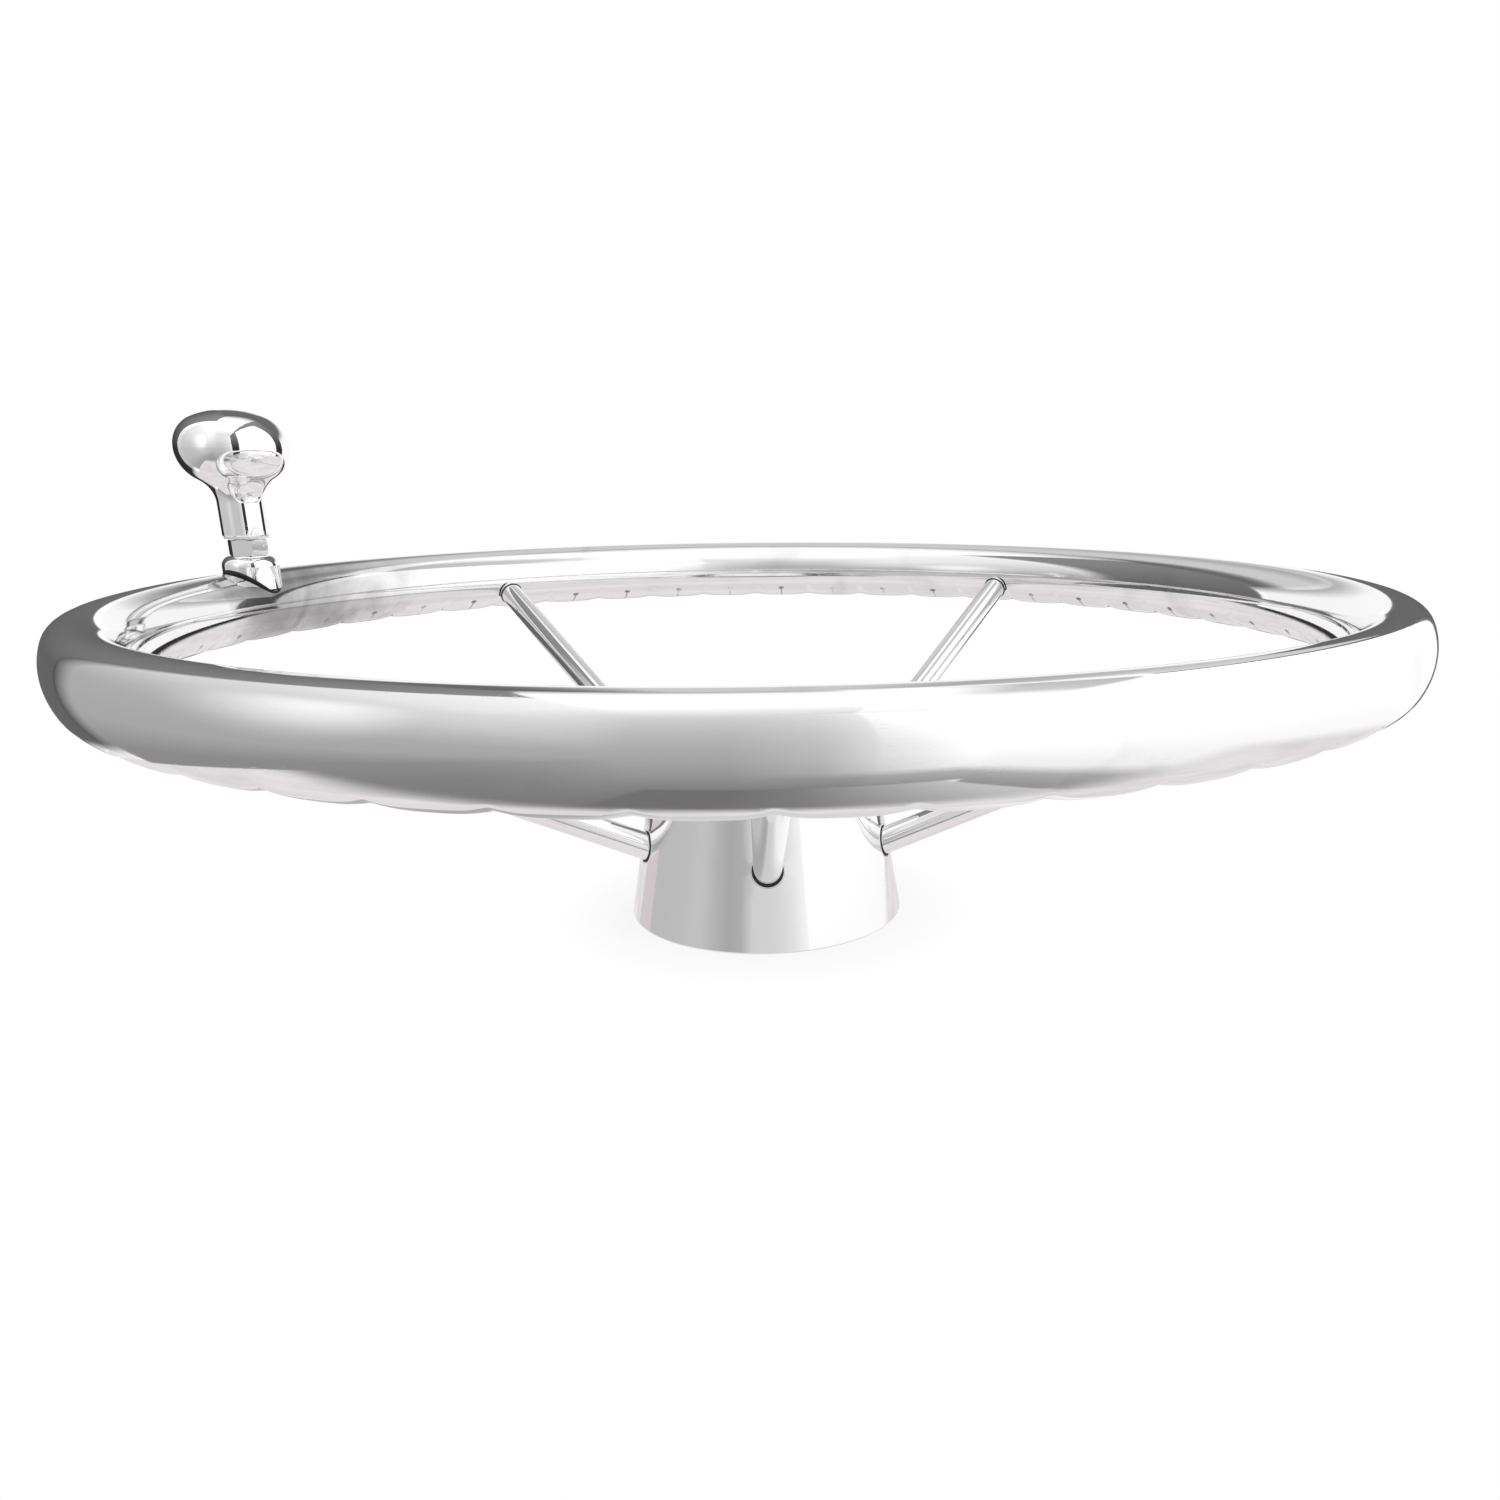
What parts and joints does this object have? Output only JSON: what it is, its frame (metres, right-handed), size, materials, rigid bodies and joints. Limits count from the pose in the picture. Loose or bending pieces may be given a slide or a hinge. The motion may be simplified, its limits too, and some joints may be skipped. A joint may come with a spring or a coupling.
{
  "type": "boat steering wheel",
  "caption": "Dished steering wheel with a tubular finger-grip rim, inclined rod spokes, a conical hub with a tapered keyed bore, and a turning knob on the rim.",
  "frame": {"origin": "centre of the hub's base, on the wheel's axis", "axes": "+Z along the wheel's axis from the hub's base up towards the rim and the person steering; -Y towards one spoke"},
  "size_m": [0.343, 0.343, 0.1412],
  "materials": {
    "polished_steel": "mirror-polished stainless steel",
    "turned_steel": "plain turned stainless steel",
    "spring_steel": "dark spring steel",
    "acetal": "white acetal bearing plastic",
    "seal_rubber": "black rubber"
  },
  "bodies": {
    "wheel": {"rim": "polished_steel", "spoke_1": "polished_steel", "spoke_2": "polished_steel", "spoke_3": "polished_steel", "spoke_4": "polished_steel", "spoke_5": "polished_steel", "hub_cover": "polished_steel", "hub_boss": "turned_steel", "hub_cup": "turned_steel", "hub_washer": "turned_steel", "wheel_nut": "turned_steel", "centre_cap": "polished_steel", "cap_ring": "seal_rubber", "knob_insert": "turned_steel", "knob_saddle": "polished_steel", "knob_lock_nut": "polished_steel", "knob_spindle": "turned_steel", "knob_clip": "spring_steel"},
    "knob": {"knob_head": "polished_steel", "knob_lower_bush": "acetal", "knob_upper_bush": "acetal", "knob_thrust_washer": "turned_steel"}
  },
  "joints": [
    {"name": "knob_spin", "type": "hinge", "parent": "wheel", "child": "knob", "pos_m": [-0.15455, 0.05022, 0.12], "axis": [0, 0, 1], "continuous": true}
  ]
}
